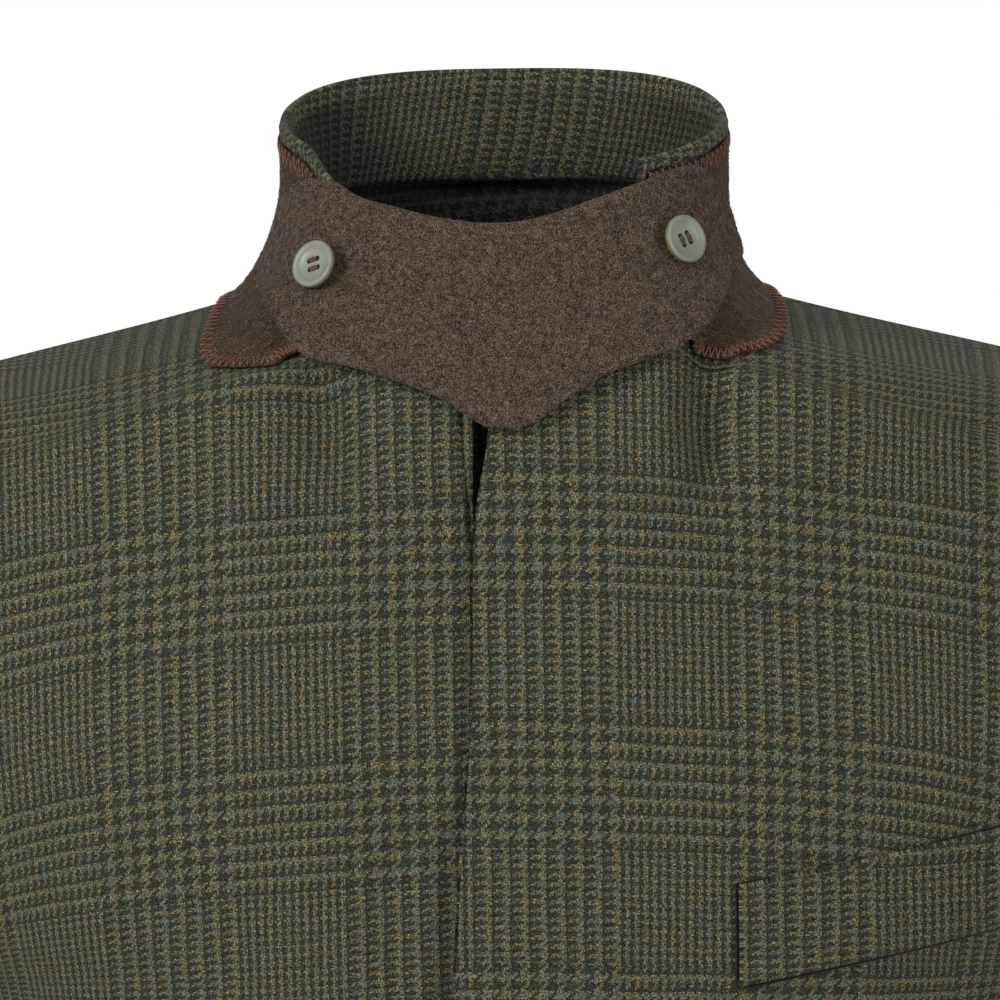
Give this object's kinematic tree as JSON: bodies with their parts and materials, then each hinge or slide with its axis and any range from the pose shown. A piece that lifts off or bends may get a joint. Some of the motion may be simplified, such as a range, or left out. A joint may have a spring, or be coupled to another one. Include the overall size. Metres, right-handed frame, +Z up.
{
  "type": "tweed sport coat",
  "caption": "Checked tweed sport coat in its worn, hollow form, collar turned up and buttoned with a felt throat tab.",
  "frame": {"origin": "midway between the two points where the shoulder seams meet the neck, inside the neck opening", "axes": "+X to the wearer's left, +Y to the wearer's back, +Z up"},
  "size_m": [0.7012, 0.2601, 0.8247],
  "materials": {
    "tweed": "woven wool tweed, glen check in charcoal green and olive",
    "felt": "brown melange wool felt",
    "button": "pale grey-green, satin"
  },
  "bodies": {
    "root": {"front_left": "tweed", "front_right": "tweed", "back_left": "tweed", "back_right": "tweed", "top_sleeve_left": "tweed", "top_sleeve_right": "tweed", "under_sleeve_left": "tweed", "under_sleeve_right": "tweed", "top_collar": "tweed", "welt_pocket": "tweed", "under_collar": "felt", "throat_tab": "felt", "tab_button_left": "button", "tab_button_right": "button", "front_button_1": "button", "front_button_2": "button", "front_button_3": "button"}
  },
  "joints": []
}
